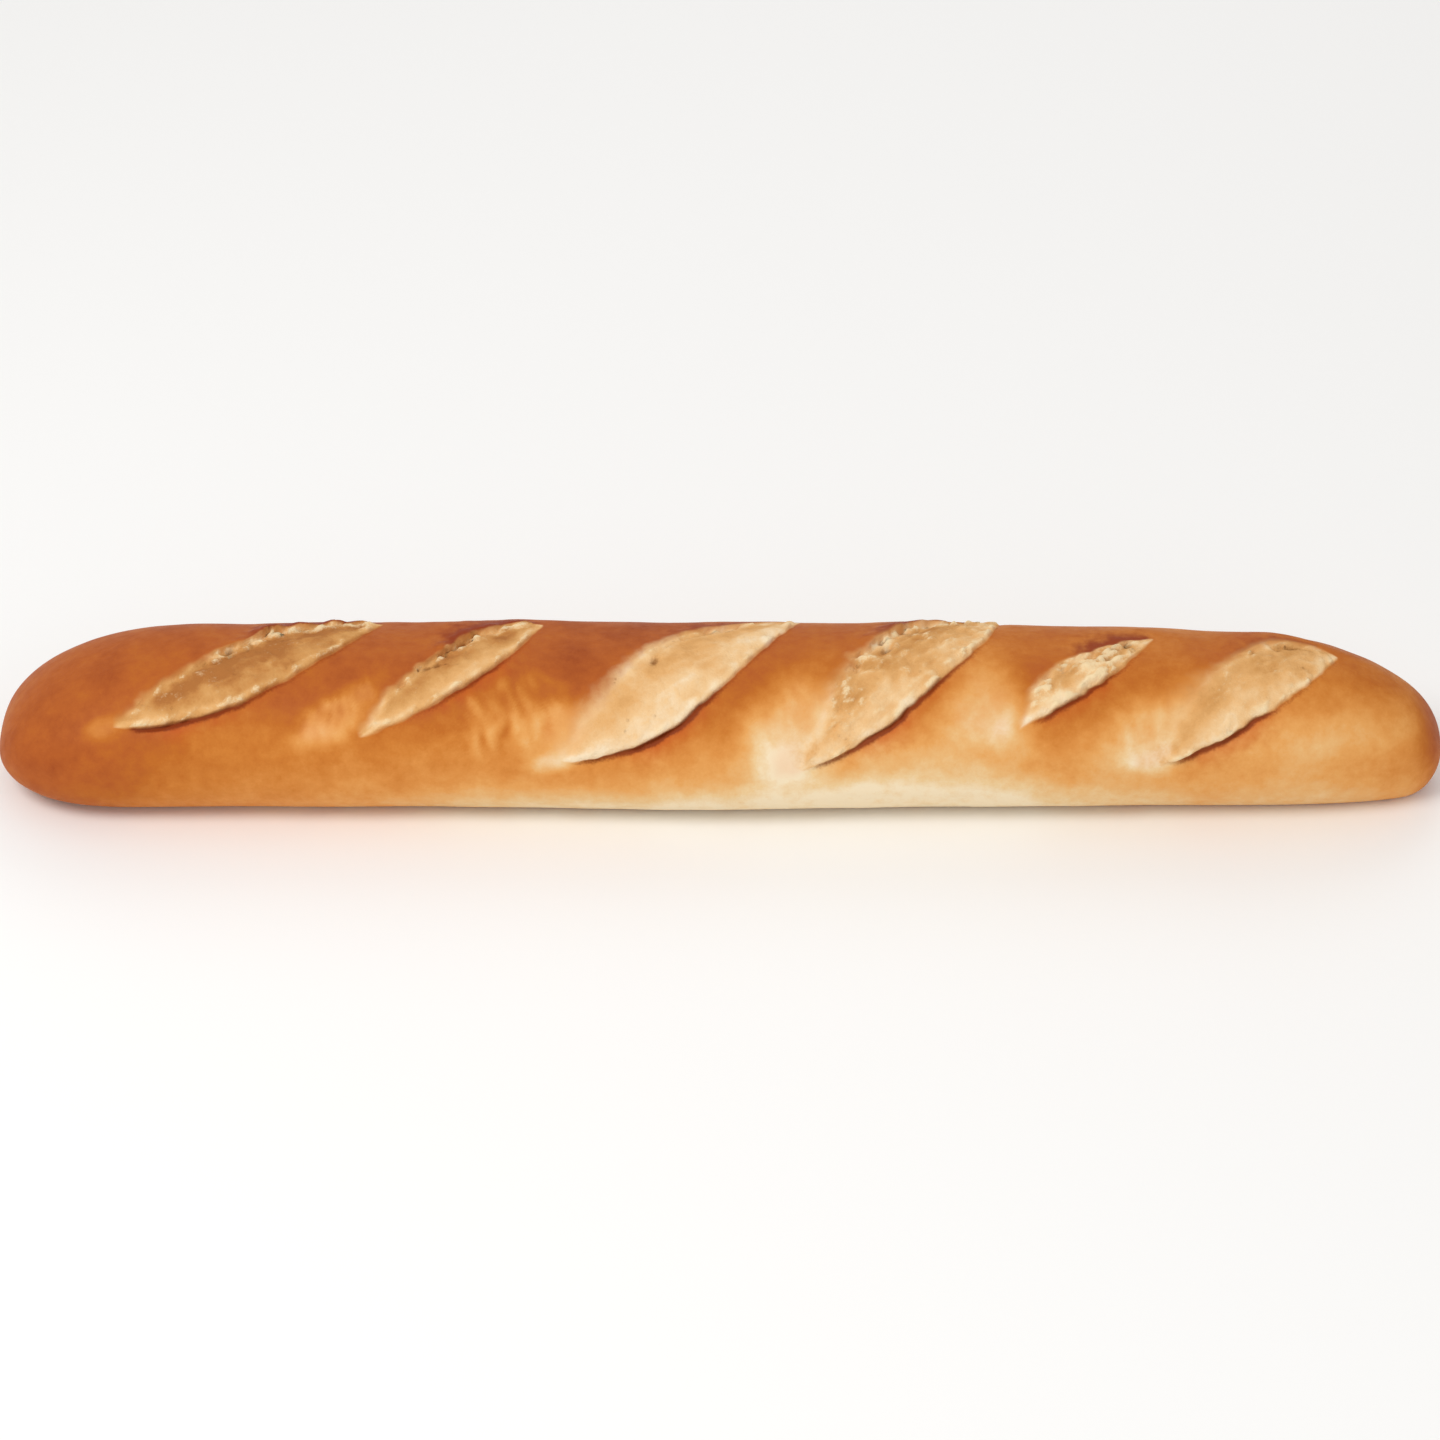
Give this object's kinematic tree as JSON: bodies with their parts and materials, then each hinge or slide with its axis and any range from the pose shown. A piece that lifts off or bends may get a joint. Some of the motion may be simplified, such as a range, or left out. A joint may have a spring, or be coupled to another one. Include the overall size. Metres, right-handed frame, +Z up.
{
  "type": "baguette",
  "caption": "Long slender wheat loaf with a flat underside, a domed golden crust and slanting opened cuts across its top.",
  "frame": {"origin": "under the middle of the loaf, on the surface that it rests on", "axes": "+X along the loaf, +Z up, -Y towards the side that the cuts reach down furthest"},
  "size_m": [0.54, 0.0776, 0.0581],
  "materials": {
    "crust": "baked wheat crust: golden brown and faintly glossy, with matte pale crumb in the opened cuts"
  },
  "bodies": {
    "root": {"loaf": "crust"}
  },
  "joints": []
}
